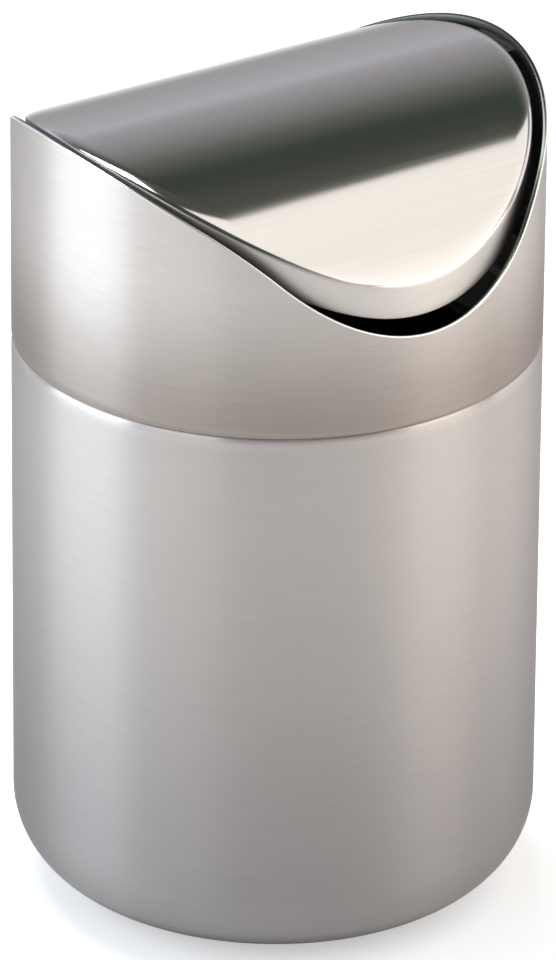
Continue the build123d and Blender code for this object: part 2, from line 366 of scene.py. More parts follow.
# %% [markdown]
# ## The studio: soft lights
# Each light is here for one line or band on the bin. The edge of the
# overhead sheet crosses the flap as a crisp line. The cool window on the left
# draws the bright upright band, and a pale fill softens its inner side. The
# strip on the right draws the thin line along the flap's fold and under the
# seam, with a weak fill below it. Two weak lights from behind keep the sides
# from going dead. The last one only lights the floor, so it hangs where the
# flap can't mirror it. They are area lights, because in metal the shape of a
# light is as visible as its strength.


# %% A helper for soft lights, by the radiance that metal will show
def add_soft_light(name, centre, facing, across, size, radiance, colour):
    """A rectangular soft light. size is (along across, along the other edge)."""
    lamp_data = bpy.data.lights.new(name, "AREA")
    lamp_data.shape = "RECTANGLE"
    lamp_data.size, lamp_data.size_y = size
    lamp_data.energy = radiance * pi * size[0] * size[1]
    lamp_data.color = colour
    lamp = bpy.data.objects.new(name, lamp_data)
    bpy.context.scene.collection.objects.link(lamp)
    back = -facing.normalized()
    x_edge = (across - back * across.dot(back)).normalized()
    turn = Matrix((x_edge, back.cross(x_edge), back)).transposed()
    lamp.matrix_world = Matrix.Translation(centre) @ turn.to_4x4()


def studio(side, away, height):
    """A place given from the bin's foot: to the camera's right, away from it, and up."""
    return RIGHT * side + AWAY * away + Vector((0, 0, height))


print("light helpers ready")

# %% [markdown]
# The overhead sheet lies level. What counts is its near edge, which the flap
# mirrors as a crisp line, so the sheet is laid out from there: a point that
# the edge goes by, and the way that it runs.

# %% The overhead sheet
DOWN = Vector((0, 0, -1))
CEILING_H = 1.1
CEILING_LIGHT = (0.95, 1.60)  # along its edge, and out from it
CEILING_RADIANCE = 1.5
CEILING_COLOUR = (1.0, 0.95, 0.90)
rise = CEILING_H - (RIDGE_Z - 20 * MM)  # from where the line crosses the flap
EDGE_PASSES = Vector((0.50, 0.356)) * rise  # to the camera's right, and away from it
EDGE_RUN = Vector((0.63, 0.776)).normalized()
EDGE_OUT = Vector((EDGE_RUN.y, -EDGE_RUN.x))
ceiling_mid = EDGE_PASSES + EDGE_OUT * CEILING_LIGHT[1] / 2
add_soft_light(
    "overhead_sheet",
    studio(ceiling_mid.x, ceiling_mid.y, CEILING_H),
    DOWN,
    RIGHT * EDGE_RUN.x + AWAY * EDGE_RUN.y,
    CEILING_LIGHT,
    CEILING_RADIANCE,
    CEILING_COLOUR,
)
print("overhead sheet's middle:", [round(v, 3) for v in ceiling_mid])

# %% [markdown]
# The others stand upright round the bin and face it. In the brushed wall each
# becomes an upright band, as wide and as bright as the light looks from
# there, so a table with one row for each band says it all.

# %% Upright panels round the bin
WARM = (1.0, 0.93, 0.84)
COOL = (0.78, 0.89, 1.0)
PANELS = (  # name, degrees round from the camera, distance, foot, top, width, radiance, colour
    ("left_window", -83, 0.60, 0.06, 0.75, 0.46, 2.4, COOL),
    ("left_fill", -40, 1.00, 0.35, 0.95, 0.60, 1.3, (0.97, 0.98, 1.0)),
    ("right_strip", 76, 0.90, 0.36, 0.60, 0.60, 2.0, WARM),
    ("right_fill", 71, 0.90, 0.02, 0.36, 0.50, 0.4, WARM),
    ("right_back", 118, 0.90, 0.10, 0.75, 0.55, 0.8, (0.98, 0.98, 1.0)),
    ("left_back", -128, 0.90, 0.10, 0.75, 0.50, 0.4, (0.62, 0.78, 1.0)),
)
for name, turn, far, foot, top, width, radiance, colour in PANELS:
    way = RIGHT * sin(radians(turn)) - AWAY * cos(radians(turn))
    centre = way * far + Vector((0, 0, (foot + top) / 2))
    add_soft_light(name, centre, -way, way.cross(DOWN), (width, top - foot), radiance, colour)
print("upright panels:", len(PANELS))

# %% [markdown]
# The last light hangs high behind the bin and whitens the floor. The film
# curve is switched off, so that colours are shown as they are written.

# %% The floor's own light, and colours shown as they are written
BACK_LIGHT = (0.75, 0.55)
BACK_RADIANCE = 7.0
BACK_COLOUR = (1.0, 0.99, 0.975)
BACK_PLACE = studio(-0.30, 0.36, 1.35)
add_soft_light("back_sheet", BACK_PLACE, -BACK_PLACE, RIGHT, BACK_LIGHT, BACK_RADIANCE, BACK_COLOUR)

bpy.context.scene.view_settings.view_transform = "Standard"

# %% [markdown]
# ## Finishes
# Brushed steel reflects sharply along its grain and smears light across it.
# The grain here runs round the can, so each lamp becomes an upright band.
# The Principled shader does that with its Anisotropic value, turned a
# quarter so the smear stands upright. The lines themselves are noise that is
# squeezed along Z and stretched round the can.

# %% Brushed steel, round the can and round the collar
LINE_PITCH = 0.35 * MM
LINE_LENGTH = 6 * MM
LINE_DEPTH = 0.02 * MM
LINE_TONE = 0.14  # how far the lines go to either side of the steel's colour
CLOUD_FACTORS = (22, 22, 40)  # soft patches, a few centimetres across
CLOUD_TONE = 0.22
SMEAR = {"Anisotropic": 0.9, "Anisotropic Rotation": 0.25}  # a quarter turn stands it upright
EDGE_TINT = (0.5, 0.5, 0.5, 1)  # rough brushed steel stays grey at a glancing angle


def brushed_finish(name, colour, rough, contrast, *fades, buffed=None):
    """Steel brushed round the Z axis. A fade is (height, height, tint from there on): painted
    shade that darkens the colour with height.

    buffed is (height, height, how much smoother the steel is from there on)."""

    def paint(shading):
        def lines(pitch, length, detail):
            return shading.noise((1 / length, 1 / length, 1 / pitch), detail)

        fine = lines(LINE_PITCH, LINE_LENGTH, 3.0)
        broad = lines(LINE_PITCH * 4, LINE_LENGTH * 3, 2.0)
        cloud = shading.noise(CLOUD_FACTORS, 3.0)
        grain = (fine - 0.5) * contrast + (broad - 0.5) * (contrast * 0.4)
        tone = 0.5 + grain + (cloud - 0.5) * CLOUD_TONE
        steel = shading.blend(tone, *either_side(colour, LINE_TONE))
        height = shading.node("ShaderNodeSeparateXYZ", {}, (shading.place(),))["Z"]
        # each fade darkens the colour with height: painted shade
        for full_z, faded_z, tint in fades:
            steel = shading.blend(shading.step(height, full_z, faded_z), steel, tint, "MULTIPLY")
        roughness = rough + (fine - 0.5) * 0.10 + (cloud - 0.5) * 0.06
        if buffed:
            start_z, end_z, smoother = buffed
            roughness = roughness - shading.step(height, start_z, end_z) * smoother
        return {
            "Base Color": steel,
            "Metallic": 1.0,
            "Roughness": roughness,
            "Specular Tint": EDGE_TINT,
            "Normal": shading.bump(fine, 0.25, LINE_DEPTH),
            **SMEAR,
        }

    return finish_material(name, paint)


CAN_COLOUR = (0.519, 0.483, 0.460)
LID_COLOUR = (0.61, 0.57, 0.535)
# Painted shade: the can's colour darkens towards its foot, and its corner once more as a painted
# contact shadow; the lid's colour darkens towards the seam, painted shade too.
CAN_PAINTED_SHADE = (SEAM_Z, CAN_FOOT_Z, (0.61, 0.62, 0.64))
FOOT_PAINTED_SHADOW = (CAN_FOOT_Z + 9 * MM, CAN_FOOT_Z + 1 * MM, (0.42, 0.42, 0.42))
LID_PAINTED_SHADE = (SEAM_Z + 38 * MM, SEAM_Z, (0.575, 0.54, 0.52))
MOUTH_BUFFED = (SEAM_Z - 3.6 * MM, SEAM_Z - 0.6 * MM, 0.15)  # the roll is smoother than the wall

can_steel = brushed_finish(
    "can_steel", CAN_COLOUR, 0.46, 0.55, CAN_PAINTED_SHADE, FOOT_PAINTED_SHADOW, buffed=MOUTH_BUFFED
)
lid_steel = brushed_finish("lid_steel", LID_COLOUR, 0.44, 0.8, LID_PAINTED_SHADE)
print("brushed finishes:", can_steel.name, lid_steel.name)

# %% [markdown]
# The flap's top is ground finer, to a satin that still mirrors the room. Its
# lines are too small to see one by one, so there is no need for the
# anisotropic smear: a low roughness that varies a little along X does it. The
# same recipe makes three more surfaces of the collar: the buffed corner of its
# rim, paler; the inside, which keeps the dull skin that it left the rolling
# mill with, in a darker colour that is painted shade for the gap round the
# flap; and the inner half of the fold, coloured nearly black as painted shade.


# %% Satin steel of the flap, and the smooth surfaces of the collar
GROUND_FACTORS = (25, 1500, 1500)  # lines long along X and under a millimetre apart
GROUND_DEPTH = 0.01 * MM
GROUND_TONE = 0.05  # how far the lines go to either side of the steel's colour
FLAP_COLOUR = (0.56, 0.543, 0.532)
FLAP_EDGE_COLOUR = (0.60, 0.565, 0.53)
RIM_COLOUR = (0.76, 0.745, 0.725)
# the inside's and the inner fold's colours are darkened: painted shade in the gap round the flap
MILL_PAINTED_SHADE_COLOUR = (0.44, 0.45, 0.43)
FOLD_PAINTED_SHADE_COLOUR = (0.115, 0.125, 0.115)


def satin_finish(name, colour, rough, glancing):
    """Finely ground steel, its faint lines along X. glancing is how light it stays edge-on."""

    def paint(shading):
        grain = shading.noise(GROUND_FACTORS, 3.0)
        cloud = shading.noise((30, 30, 30), 2.0)
        return {
            "Base Color": shading.blend(grain, *either_side(colour, GROUND_TONE)),
            "Metallic": 1.0,
            "Roughness": rough + (grain - 0.5) * 0.05 + (cloud - 0.5) * 0.04,
            "Specular Tint": (glancing, glancing, glancing, 1),
            "Normal": shading.bump(grain, 0.1, GROUND_DEPTH),
        }

    return finish_material(name, paint)


flap_steel = satin_finish("flap_steel", FLAP_COLOUR, 0.11, 0.65)
rim_steel = satin_finish("rim_steel", RIM_COLOUR, 0.22, 0.8)
mill_steel = satin_finish("mill_steel", MILL_PAINTED_SHADE_COLOUR, 0.30, 0.5)
fold_steel = satin_finish("fold_steel", FOLD_PAINTED_SHADE_COLOUR, 0.22, 0.5)
flap_edge_steel = brushed_finish("flap_edge_steel", FLAP_EDGE_COLOUR, 0.36, 0.5)
print("satin finishes:", [steel.name for steel in (flap_steel, rim_steel, mill_steel, fold_steel)])

# %% [markdown]
# ## Turning a section into a shell
# Each big piece is a ring of upright sections. For the can they are all the
# same, as on a lathe. For the collar and the flap the section changes with
# the angle, because their edges rise and fall. One helper takes a function
# that gives the section at an angle and joins the sections into a closed mesh.


# %% Helpers for sections
SAME_POINT = 1e-7  # points closer than this are one


def arc(centre, radius, start, end, steps):
    """Points on an arc in a section, from one angle in degrees to another."""
    turns = [radians(start + (end - start) * i / steps) for i in range(steps + 1)]
    return [(centre[0] + radius * cos(t), centre[1] + radius * sin(t)) for t in turns]


def run(start, end, steps):
    """Points on a straight line in a section, ends included."""
    return [tuple(a + (b - a) * i / steps for a, b in zip(start, end)) for i in range(steps + 1)]


def bend(start, corner, end, steps):
    """Points on a curve that leaves start towards corner and arrives at end from it."""
    axes = list(zip(start, corner, end))
    points = []
    for i in range(steps + 1):
        t = i / steps
        shares = ((1 - t) ** 2, 2 * t * (1 - t), t**2)
        points.append(tuple(sum(s * v for s, v in zip(shares, axis)) for axis in axes))
    return points


def joined(*pieces):
    """Pieces of a section as one, without the points they share."""
    points = []
    for piece in pieces:
        for point in piece:
            if not points or hypot(point[0] - points[-1][0], point[1] - points[-1][1]) > SAME_POINT:
                points.append(point)
    return points


print("section helpers ready")

# %% [markdown]
# Every mesh is closed, with its normals outward and no doubled points, as a
# printed or weighed part needs it. Small turned edges stay crisp where their
# faces meet at more than a set angle, and everything else is shaded smooth.


# %% Helpers for shells and for putting a piece in its place
def kept_mesh(made, name, crease=None):
    """A clean mesh. Edges that turn by more than crease degrees stay crisp."""
    bmesh.ops.remove_doubles(made, verts=made.verts, dist=SAME_POINT)
    bmesh.ops.recalc_face_normals(made, faces=made.faces)
    mesh = bpy.data.meshes.new(name)
    made.to_mesh(mesh)
    made.free()
    mesh.shade_smooth()
    if crease:
        mesh.set_sharp_from_angle(angle=radians(crease))
    return mesh


def shell_mesh(name, section, angles, looped, crease=None):
    """A closed mesh. section(angle) gives (radius, height, extra turn) points.

    A looped section closes on itself. One that isn't starts and ends on the axis."""
    made = bmesh.new()
    rings = []
    for angle in angles:
        ring = []
        for radius, height, *extra in section(angle):
            turn = angle + (extra[0] if extra else 0)
            ring.append((radius * cos(turn), radius * sin(turn), height))
        rings.append(ring)
    count = len(rings[0])
    inner = range(count) if looped else range(1, count - 1)
    grid = [{k: made.verts.new(ring[k]) for k in inner} for ring in rings]
    poles = [] if looped else [made.verts.new(rings[0][0]), made.verts.new(rings[0][-1])]
    for i, column in enumerate(grid):
        after = grid[(i + 1) % len(grid)]
        for k in inner if looped else inner[:-1]:
            m = (k + 1) % count
            made.faces.new((column[k], after[k], after[m], column[m]))
        if poles:
            made.faces.new((poles[0], after[1], column[1]))
            made.faces.new((column[count - 2], after[count - 2], poles[1]))
    return kept_mesh(made, name, crease)


def dress_node(name, material):
    """Gives a CAD node its finish. Its mesh stays as it is."""
    node_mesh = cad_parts[name].data
    node_mesh.materials.clear()
    node_mesh.materials.append(material)


def place_piece(name, mesh, material, body, slot, *nodes):
    """A finished piece: on its body, in place of these CAD nodes. slot is not used."""
    mesh.materials.clear()
    mesh.materials.append(material)
    piece = bpy.data.objects.new(name, mesh)
    bpy.context.scene.collection.objects.link(piece)
    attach(piece, body)
    if nodes:
        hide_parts(*nodes)
    for node in nodes:
        dress_node(node, material)
    print(f"{name}: {len(mesh.vertices)} points, {len(mesh.polygons)} faces")


print("shell helpers ready")

# %% [markdown]
# ## The can
# The can is drawn from one sheet: a pressed-up base, a large corner and a
# straight wall. Its mouth is rolled, which gives the thin bright line under
# the seam. A lathed section is the honest way to make it.

# %% Can
CORNER_R = 19.5 * MM
DISH_R = 25 * MM
DISH_RUN = 2.5 * MM
DISH_H = 0.8 * MM
CURL_W = 1.6 * MM
CURL_H = 3.2 * MM
CURL_CLEAR = 0.2 * MM  # from the roll to the wall's first plain row
WALL_IN_R = BODY_R - SHEET_T  # inside the can's wall, and inside the collar's
MOUTH_LEAD = 4.0 * MM  # where the wall starts to lean in towards the rolled mouth
MOUTH_TURN = 1.25 * MM  # how far in the roll's highest line is
WALL_ROWS = 40


def can_section(angle):
    """From under the base, up the wall, over the rolled mouth and down the inside."""
    mouth_r = BODY_R - CURL_W
    corner_r = BODY_R - CORNER_R
    base_z = CAN_FOOT_Z
    inner_r = CORNER_R - SHEET_T
    lead = (BODY_R, SEAM_Z - MOUTH_LEAD)
    top = (BODY_R - MOUTH_TURN, SEAM_Z)
    back_r = CURL_W - MOUTH_TURN
    return joined(
        [(0, base_z + DISH_H), (DISH_R, base_z + DISH_H), (DISH_R + DISH_RUN, base_z)],
        arc((corner_r, base_z + CORNER_R), CORNER_R, -90, 0, 24),
        run((BODY_R, base_z + CORNER_R), lead, WALL_ROWS),
        bend(lead, (BODY_R, SEAM_Z), top, 20),
        arc((top[0], SEAM_Z - back_r), back_r, 90, 180, 8),
        [(mouth_r, SEAM_Z - CURL_H), (WALL_IN_R, SEAM_Z - CURL_H)],
        run((WALL_IN_R, SEAM_Z - CURL_H - CURL_CLEAR), (WALL_IN_R, base_z + CORNER_R), 8),
        arc((corner_r, base_z + CORNER_R), inner_r, 0, -90, 16),
        [(DISH_R + DISH_RUN, base_z + SHEET_T)],
        [(radius, base_z + DISH_H + SHEET_T) for radius in (DISH_R, 0)],
    )


can_mesh = shell_mesh("can_shell", can_section, even_angles(288), looped=False)
place_piece("can_shell", can_mesh, can_steel, "can", "can_steel", "body_shell")

# %% [markdown]
# ## The collar
# The collar's rim is a saddle: seen along the axle it is a crown arc, a
# tighter shoulder arc and a straight flank, each running smoothly into the
# next. The sheet is folded back inside along the rim, so the edge is twice
# as thick as the wall, and pressed flat on top with rounded corners. The fold
# is drawn square to the rim's own line, which keeps its width even where the
# rim is steep.

# %% Collar
CROWN_R = 70 * MM
CROWN_HALF = radians(32)
SHOULDER_R = 40 * MM
FLANK = radians(57.2)
HEM_W = 1.2 * MM
HEM_DEEP = 2.2 * MM
HEM_EDGE_R = 0.35 * MM  # the fold is pressed flat on top, so only its corners are round
HEM_BEVEL = 0.12 * MM  # along the fold's cut edge
HEM_CLEAR = 0.4 * MM  # from the fold to the wall's first plain row
HEM_MID_R = BODY_R - HEM_W / 2
COLLAR_COLUMNS = 576


def saddle(across):
    """Height and slope of the rim's profile at this distance from its middle."""
    v = abs(across)
    crown_end = CROWN_R * sin(CROWN_HALF)
    drop_crown = CROWN_R * (1 - cos(CROWN_HALF))
    mid_v = crown_end - SHOULDER_R * sin(CROWN_HALF)
    mid_drop = drop_crown + SHOULDER_R * cos(CROWN_HALF)
    shoulder_end = mid_v + SHOULDER_R * sin(FLANK)
    if v <= crown_end:
        drop = CROWN_R - sqrt(CROWN_R**2 - v**2)
        slope = v / sqrt(CROWN_R**2 - v**2)
    elif v <= shoulder_end:
        w = v - mid_v
        drop = mid_drop - sqrt(SHOULDER_R**2 - w**2)
        slope = w / sqrt(SHOULDER_R**2 - w**2)
    else:
        drop = mid_drop - SHOULDER_R * cos(FLANK) + (v - shoulder_end) * tan(FLANK)
        slope = tan(FLANK)
    return PEAK_Z - drop, -slope if across > 0 else slope


def collar_section(angle):
    """Round the folded rim and down both faces of the wall, as a loop."""
    rim_z, slope = saddle(HEM_MID_R * sin(angle))
    climb = slope * cos(angle)  # rise of the rim per distance along it
    length = sqrt(1 + climb**2)
    down = (climb / length, -1 / length)  # along the wall, square to the rim: (round, up)

    def on_wall(radius, deep):
        return (radius, rim_z + down[1] * deep, down[0] * deep / HEM_MID_R)

    flat = HEM_W / 2 - HEM_EDGE_R
    corners = arc((HEM_MID_R + flat, -HEM_EDGE_R), HEM_EDGE_R, 0, 90, 6)
    corners += arc((HEM_MID_R - flat, -HEM_EDGE_R), HEM_EDGE_R, 90, 180, 6)
    fold = [on_wall(radius, -height) for radius, height in corners]
    outer = run((BODY_R, COLLAR_BASE_Z, 0), on_wall(BODY_R, HEM_W * 0.8), 24)
    hem_inside = [on_wall(BODY_R - HEM_W, HEM_DEEP * share) for share in (0.4, 0.7, 1.0)]
    cut = [on_wall(radius, HEM_DEEP + HEM_BEVEL) for radius in (BODY_R - HEM_W * 0.75, WALL_IN_R)]
    inner = run(on_wall(WALL_IN_R, HEM_DEEP + HEM_CLEAR), (WALL_IN_R, COLLAR_BASE_Z, 0), 12)
    return outer + fold + hem_inside + cut + inner


collar_mesh = shell_mesh("lid_collar", collar_section, even_angles(COLLAR_COLUMNS), looped=True)
place_piece("lid_collar", collar_mesh, lid_steel, "lid", "lid_steel", "collar_shell")

# %% [markdown]
# A hand goes over this rim, so its outer corner is buffed smooth after
# brushing, and draws a bright line round the opening. The brush doesn't reach
# the inner half of the fold or the inside of the wall. All of it is one
# sheet, so it stays one mesh, and the faces take their material by where they
# are: how far in, and how far below the rim.


# %% The rim's corner, the rest of the fold and the inside of the wall
def depth_below_rim(point):
    """How far a point of the collar is below the rim, square to the rim's line."""
    turn = atan2(point.y, point.x)
    rim_z, slope = saddle(HEM_MID_R * sin(turn))
    return (rim_z - point.z) / sqrt(1 + (slope * cos(turn)) ** 2)


# the inside and the inner half of the fold take the dark colours that are painted shade in the gap
COLLAR_FINISHES = {  # by whether a face is on the inside, and whether it is on the fold
    (False, False): lid_steel,
    (False, True): rim_steel,
    (True, True): fold_steel,
    (True, False): mill_steel,
}
collar_mesh.materials.clear()
for steel in COLLAR_FINISHES.values():
    collar_mesh.materials.append(steel)
for face in collar_mesh.polygons:
    inside = hypot(face.center.x, face.center.y) < BODY_R - HEM_EDGE_R
    folded = depth_below_rim(face.center) < HEM_W / 2
    face.material_index = list(COLLAR_FINISHES).index((inside, folded))
for index, steel in enumerate(collar_mesh.materials):
    count = sum(face.material_index == index for face in collar_mesh.polygons)
    print("collar faces:", steel.name, count)

# %% [markdown]
# ## The flap
# The flap is a round blank, arched over one axis like a barrel lid, with its
# edge turned down. Pressed sheet never turns a corner sharply: it starts to
# bend a few millimetres before the fold. A curve with a long lead-in and a
# short run-out gives that soft shoulder, and it is what makes reflections
# curl as they come to the edge.

# %% Flap
ARCH_R = 74 * MM
FLANGE_H = 8.15 * MM
FOLD_LEAD = 3.4 * MM  # where the top starts to bend
FOLD_TAIL = 1.0 * MM  # where the turned-down edge is straight
NOTCH_R = AXLE_R + 0.7 * MM
NICK = 0.02 * MM  # between the two columns at a notch's side
FLAP_COLUMNS = 960


def arch(across, radius):
    """Height of an arch of this radius, concentric with the flap's top."""
    return RIDGE_Z - ARCH_R + sqrt(radius**2 - across**2)


def flap_edge_z(angle):
    """Lower edge of the turned-down edge, with the notches that clear the axle."""
    y = FLAP_R * sin(angle)
    plain = arch(y, ARCH_R) - FLANGE_H
    if abs(y) < NOTCH_R:
        return max(plain, AXLE_Z + sqrt(NOTCH_R**2 - y**2))
    return plain


def fold_curve(angle, skin):
    """The fold's points for the top (skin 0) or the underside of the sheet."""
    edge_r = FLAP_R - skin
    corner = (edge_r, arch(edge_r * sin(angle), ARCH_R - skin))
    lead_r = edge_r - FOLD_LEAD + skin
    start = (lead_r, arch(lead_r * sin(angle), ARCH_R - skin))
    end = (edge_r, corner[1] - FOLD_TAIL + skin)
    return bend(start, corner, end, 18)


def flap_section(angle):
    """From the middle of the top, over the fold, down the edge and back underneath."""

    def arched(end_r, arch_r, steps):
        """Points from the middle to just short of this radius."""
        radii = [end_r * i / steps for i in range(steps)]
        return [(radius, arch(radius * sin(angle), arch_r)) for radius in radii]

    edge_z = flap_edge_z(angle)
    outer_fold = fold_curve(angle, 0)
    inner_fold = fold_curve(angle, SHEET_T)
    top = arched(outer_fold[0][0], ARCH_R, 24)
    under = arched(inner_fold[0][0], ARCH_R - SHEET_T, 8)
    lip = SHEET_T / 2
    outer_wall = run(outer_fold[-1], (FLAP_R, edge_z + lip), 5)[1:]
    lower = arc((FLAP_R - lip, edge_z + lip), lip, 0, -180, 8)[1:]
    inner_wall = run((FLAP_R - SHEET_T, edge_z + lip), inner_fold[-1], 5)[1:-1]
    return top + outer_fold + outer_wall + lower + inner_wall + inner_fold[::-1] + under[::-1]


def flap_angles():
    """Even columns, with close pairs at the sides of the two axle notches."""
    side = acos(1 - (NOTCH_R / FLAP_R) ** 2 / 2)
    nick = NICK / FLAP_R
    edges = [m + s * (side + d) for m in (0, pi) for s in (-1, 1) for d in (-nick, nick)]
    return sorted(even_angles(FLAP_COLUMNS) + [a % (2 * pi) for a in edges])


flap_mesh = shell_mesh("push_flap", flap_section, flap_angles(), looped=False)
place_piece("push_flap", flap_mesh, flap_steel, "flap", "flap_steel", "flap_shell")

# %% [markdown]
# Grinding the arch leaves the turned-down edge untouched, so the edge keeps
# the coarser brushing that the sheet came with. Its faces are picked by their
# distance from the middle and take the brushed finish.

# %% The turned-down edge keeps its coarser brushing
EDGE_SKIN = 0.2 * MM
flap_mesh.materials.append(flap_edge_steel)
for face in flap_mesh.polygons:
    if hypot(face.center.x, face.center.y) > FLAP_R - EDGE_SKIN:
        face.material_index = 1
print("edge faces:", sum(face.material_index for face in flap_mesh.polygons))

# %% [markdown]
# ## Finishes of the parts inside
# The lid hides a few small parts, and each is made of what such a part is
# made of. The bucket is black polypropylene with a fine spark-eroded grain.
# The axle and the flap's lugs are zinc-plated steel, which is a little bluish
# and slightly cloudy. The axle's brackets are plated steel coloured dark as
# painted shade, so that nothing glints in the gap round the flap. The bushes
# and washers are natural nylon, the caps on the stops grey silicone and the
# foot black rubber. All of them are one small recipe: a colour that varies a
# little, a roughness that varies with it, and a bump at the grain's own size.


# %% Moulded and plated finishes
def grained_finish(name, colour, spread, rough, grain_size, depth, metal=False, soft=0.0):
    """An even finish with a fine grain, its size and depth in mm.

    soft is how much light goes a little way in."""

    def paint(shading):
        grain = shading.noise((1 / (grain_size * MM),) * 3, 2.0)
        cloud = shading.noise((45, 45, 45), 4.0)
        sockets = {
            "Base Color": shading.blend(cloud, *either_side(colour, spread)),
            "Metallic": 1.0 if metal else 0.0,
            "Roughness": rough + (cloud - 0.5) * 0.16 + (grain - 0.5) * 0.06,
            "Normal": shading.bump(grain, 0.5, depth * MM),
        }
        if soft:
            sockets["Subsurface Weight"] = soft
            sockets["Subsurface Radius"] = colour
            sockets["Subsurface Scale"] = 1.2 * MM
        return sockets

    return finish_material(name, paint)


bucket_plastic = grained_finish("bucket_plastic", (0.020, 0.024, 0.021), 0.25, 0.46, 0.5, 0.03)
foot_rubber = grained_finish("foot_rubber", (0.028, 0.028, 0.029), 0.35, 0.72, 0.35, 0.05)
nylon = grained_finish("nylon", (0.78, 0.76, 0.69), 0.05, 0.38, 0.6, 0.01, soft=0.25)
silicone = grained_finish("silicone", (0.30, 0.31, 0.31), 0.08, 0.55, 0.5, 0.01, soft=0.15)
plated_steel = grained_finish("plated_steel", (0.60, 0.62, 0.64), 0.12, 0.30, 0.25, 0.006, True)
# painted shade: the brackets' dark colour stands for the shade in the gap round the flap
bracket_steel = grained_finish("bracket_steel", (0.20, 0.20, 0.19), 0.10, 0.42, 0.3, 0.01, True)
spring_steel = grained_finish("spring_steel", (0.20, 0.19, 0.20), 0.20, 0.34, 0.3, 0.006, True)
print("finishes so far:", len(bpy.data.materials))

# %% [markdown]
# ## What repeats: one Geometry Nodes tree
# Spot welds, grip pips and moulded ribs all do the same thing: one small
# shape, many times, evenly round a ring. Placing them by hand would be slow
# and uneven, so a node tree does it from a few named sizes. It puts points on
# a circle, sets a rounded lump on each, turned to face outwards, and makes
# them real.

# %% The ring-of-lumps tree
RING_INPUTS = (
    ("Count", "NodeSocketInt"),
    ("Ring Radius", "NodeSocketFloat"),
    ("Height", "NodeSocketFloat"),
    ("Lump Size", "NodeSocketVector"),
    ("Bare Width", "NodeSocketFloat"),
    ("Finish", "NodeSocketMaterial"),
)


def ring_tree():
    """Lumps evenly round a ring, but none within Bare Width of the YZ plane.

    Lump Size is half a lump's reach outwards, round and up."""
    tree = bpy.data.node_groups.new("ring_of_lumps", "GeometryNodeTree")
    for name, kind in RING_INPUTS:
        tree.interface.new_socket(name, in_out="INPUT", socket_type=kind)
    tree.interface.new_socket("Geometry", in_out="OUTPUT", socket_type="NodeSocketGeometry")

    def add(kind, **links):
        made = tree.nodes.new(kind)
        for name, source in links.items():
            target = made.inputs[name.replace("_", " ")]
            if isinstance(source, bpy.types.NodeSocket):
                tree.links.new(source, target)
            else:
                target.default_value = source
        return made

    sizes = tree.nodes.new("NodeGroupInput").outputs
    circle = add("GeometryNodeMeshCircle", Vertices=sizes["Count"], Radius=sizes["Ring Radius"])
    lift = add("ShaderNodeCombineXYZ", Z=sizes["Height"])
    raised = add(
        "GeometryNodeSetPosition", Geometry=circle.outputs["Mesh"], Offset=lift.outputs["Vector"]
    )
    outwards = add("GeometryNodeInputPosition")
    level = add("ShaderNodeVectorMath")
    level.operation = "MULTIPLY"
    level.inputs[1].default_value = (1, 1, 0)
    tree.links.new(outwards.outputs["Position"], level.inputs[0])
    turned = add("FunctionNodeAlignRotationToVector", Vector=level.outputs["Vector"])
    turned.axis = "X"
    turned.pivot_axis = "Z"
    place = add("ShaderNodeSeparateXYZ", Vector=outwards.outputs["Position"])
    off_middle = tree.nodes.new("ShaderNodeMath")
    off_middle.operation = "ABSOLUTE"
    tree.links.new(place.outputs["X"], off_middle.inputs[0])
    kept = tree.nodes.new("FunctionNodeCompare")
    kept.operation = "GREATER_EQUAL"
    tree.links.new(off_middle.outputs["Value"], kept.inputs["A"])
    tree.links.new(sizes["Bare Width"], kept.inputs["B"])
    lump = add("GeometryNodeMeshUVSphere", Segments=16, Rings=8, Radius=1.0)
    smooth = add("GeometryNodeSetShadeSmooth", Geometry=lump.outputs["Mesh"])
    many = add(
        "GeometryNodeInstanceOnPoints",
        Points=raised.outputs["Geometry"],
        Selection=kept.outputs["Result"],
        Instance=smooth.outputs["Geometry"],
        Rotation=turned.outputs["Rotation"],
        Scale=sizes["Lump Size"],
    )
    real = add("GeometryNodeRealizeInstances", Geometry=many.outputs["Instances"])
    finished = add(
        "GeometryNodeSetMaterial", Geometry=real.outputs["Geometry"], Material=sizes["Finish"]
    )
    result = tree.nodes.new("NodeGroupOutput")
    tree.links.new(finished.outputs["Geometry"], result.inputs["Geometry"])
    return tree


RING_TREE = ring_tree()
print("ring tree has", len(RING_TREE.nodes), "nodes")

# %% [markdown]
# A modifier only shows what the tree would make. A part needs a mesh of its
# own, so the tree runs once on an empty holder, its result is kept as a plain
# mesh, and the holder is thrown away.


# %% From the tree to a plain mesh
def ring_of_lumps(name, count, radius, height, lump, finish, bare=0.0):
    """The tree's result for these sizes, as a plain mesh."""
    holder = bpy.data.objects.new(name + "_maker", bpy.data.meshes.new(name + "_maker"))
    bpy.context.scene.collection.objects.link(holder)
    maker = holder.modifiers.new("ring", "NODES")
    maker.node_group = RING_TREE
    values = {
        "Count": count,
        "Ring Radius": radius,
        "Height": height,
        "Lump Size": lump,
        "Bare Width": bare,
        "Finish": finish,
    }
    for item in RING_TREE.interface.items_tree:
        if item.in_out == "INPUT":
            maker[item.identifier] = values[item.name]
    ready = holder.evaluated_get(bpy.context.evaluated_depsgraph_get())
    mesh = bpy.data.meshes.new_from_object(ready)
    mesh.name = name
    bpy.data.objects.remove(holder)
    return mesh


print("ring helper ready")

# %% [markdown]
# ## The bucket
# The liner lifts out by a lip with two finger scoops. It is moulded, so its
# wall leans a little to leave the tool, every edge is slightly round, and a
# low boss in the middle of the floor marks where the plastic was let in. A
# lathed section makes all of that.

